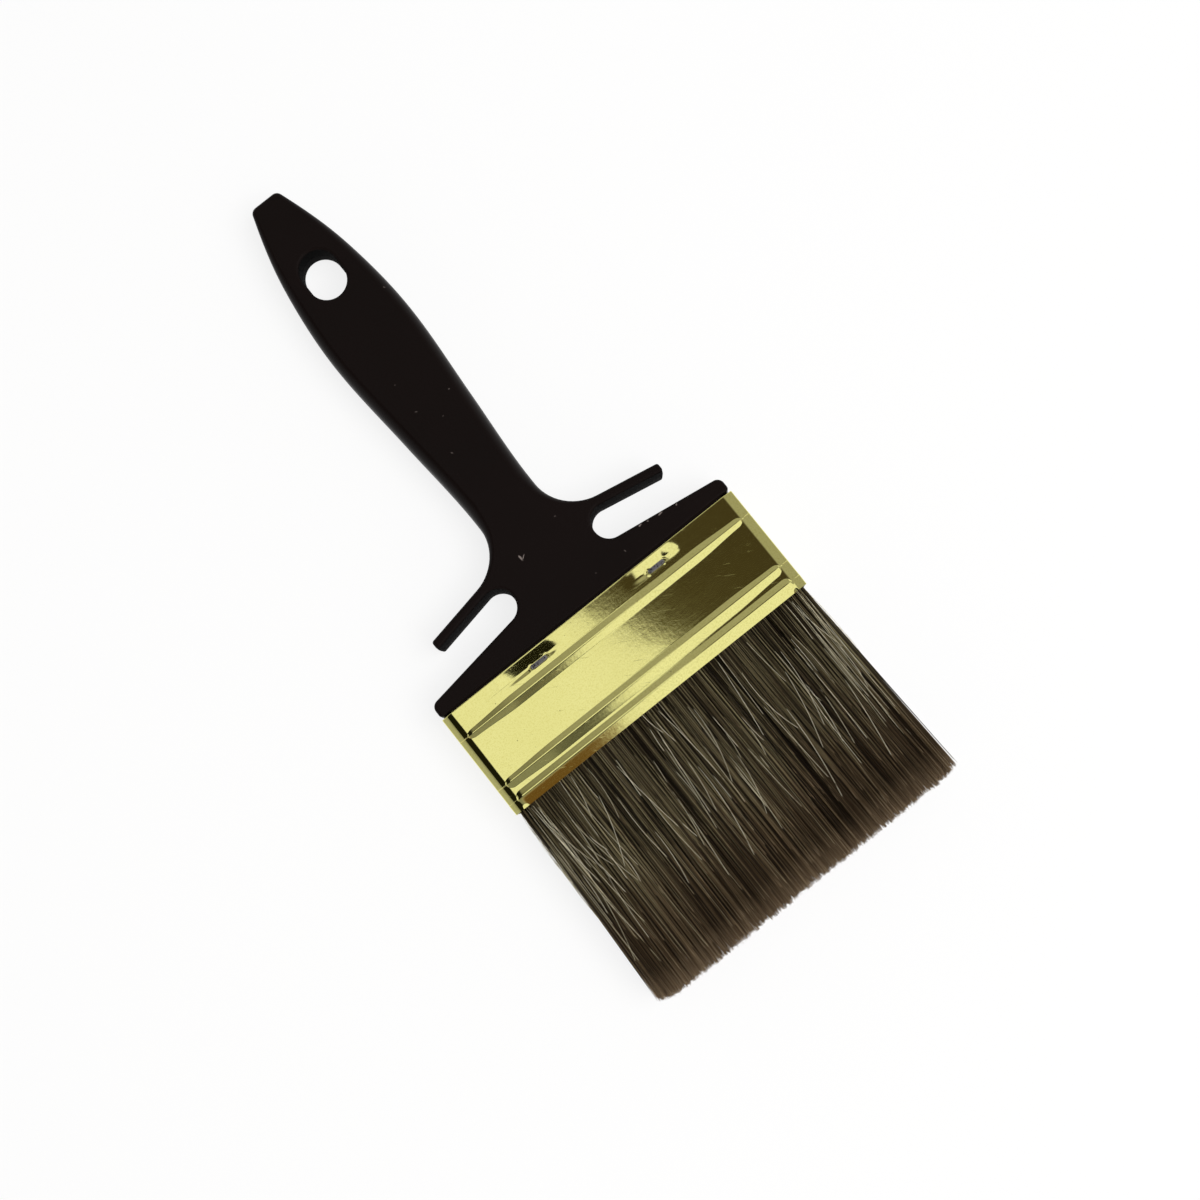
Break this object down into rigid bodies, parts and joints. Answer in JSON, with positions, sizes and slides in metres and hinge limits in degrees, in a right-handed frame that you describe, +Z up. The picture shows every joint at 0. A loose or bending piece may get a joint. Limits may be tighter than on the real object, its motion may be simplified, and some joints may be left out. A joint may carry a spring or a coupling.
{
  "type": "flat wall paint brush",
  "caption": "Flat wall paint brush: dark moulded handle with can hooks and a hanging hole, beaded brass-coloured ferrule, and a wide pack of brown bristle.",
  "frame": {"origin": "under the middle of the brush's bounding box, on the surface it lies on", "axes": "+Y from the bristle to the handle's tip, +X across the ferrule's width, +Z up through the thickness"},
  "size_m": [0.1005, 0.241, 0.0176],
  "materials": {
    "handle_plastic": "satin, moulded",
    "gilt_sheet": "polished",
    "staple_wire": "drawn wire",
    "setting_resin": "cast",
    "spacer_wood": "sawn",
    "bristle": "natural"
  },
  "bodies": {
    "root": {"handle": "handle_plastic", "ferrule": "gilt_sheet", "front_left_staple": "staple_wire", "front_right_staple": "staple_wire", "rear_left_staple": "staple_wire", "rear_right_staple": "staple_wire", "resin_heel": "setting_resin", "front_spacer_strip": "spacer_wood", "rear_spacer_strip": "spacer_wood", "front_bristle_row": "bristle", "middle_bristle_row": "bristle", "rear_bristle_row": "bristle", "left_end_tuft": "bristle", "right_end_tuft": "bristle"}
  },
  "joints": []
}
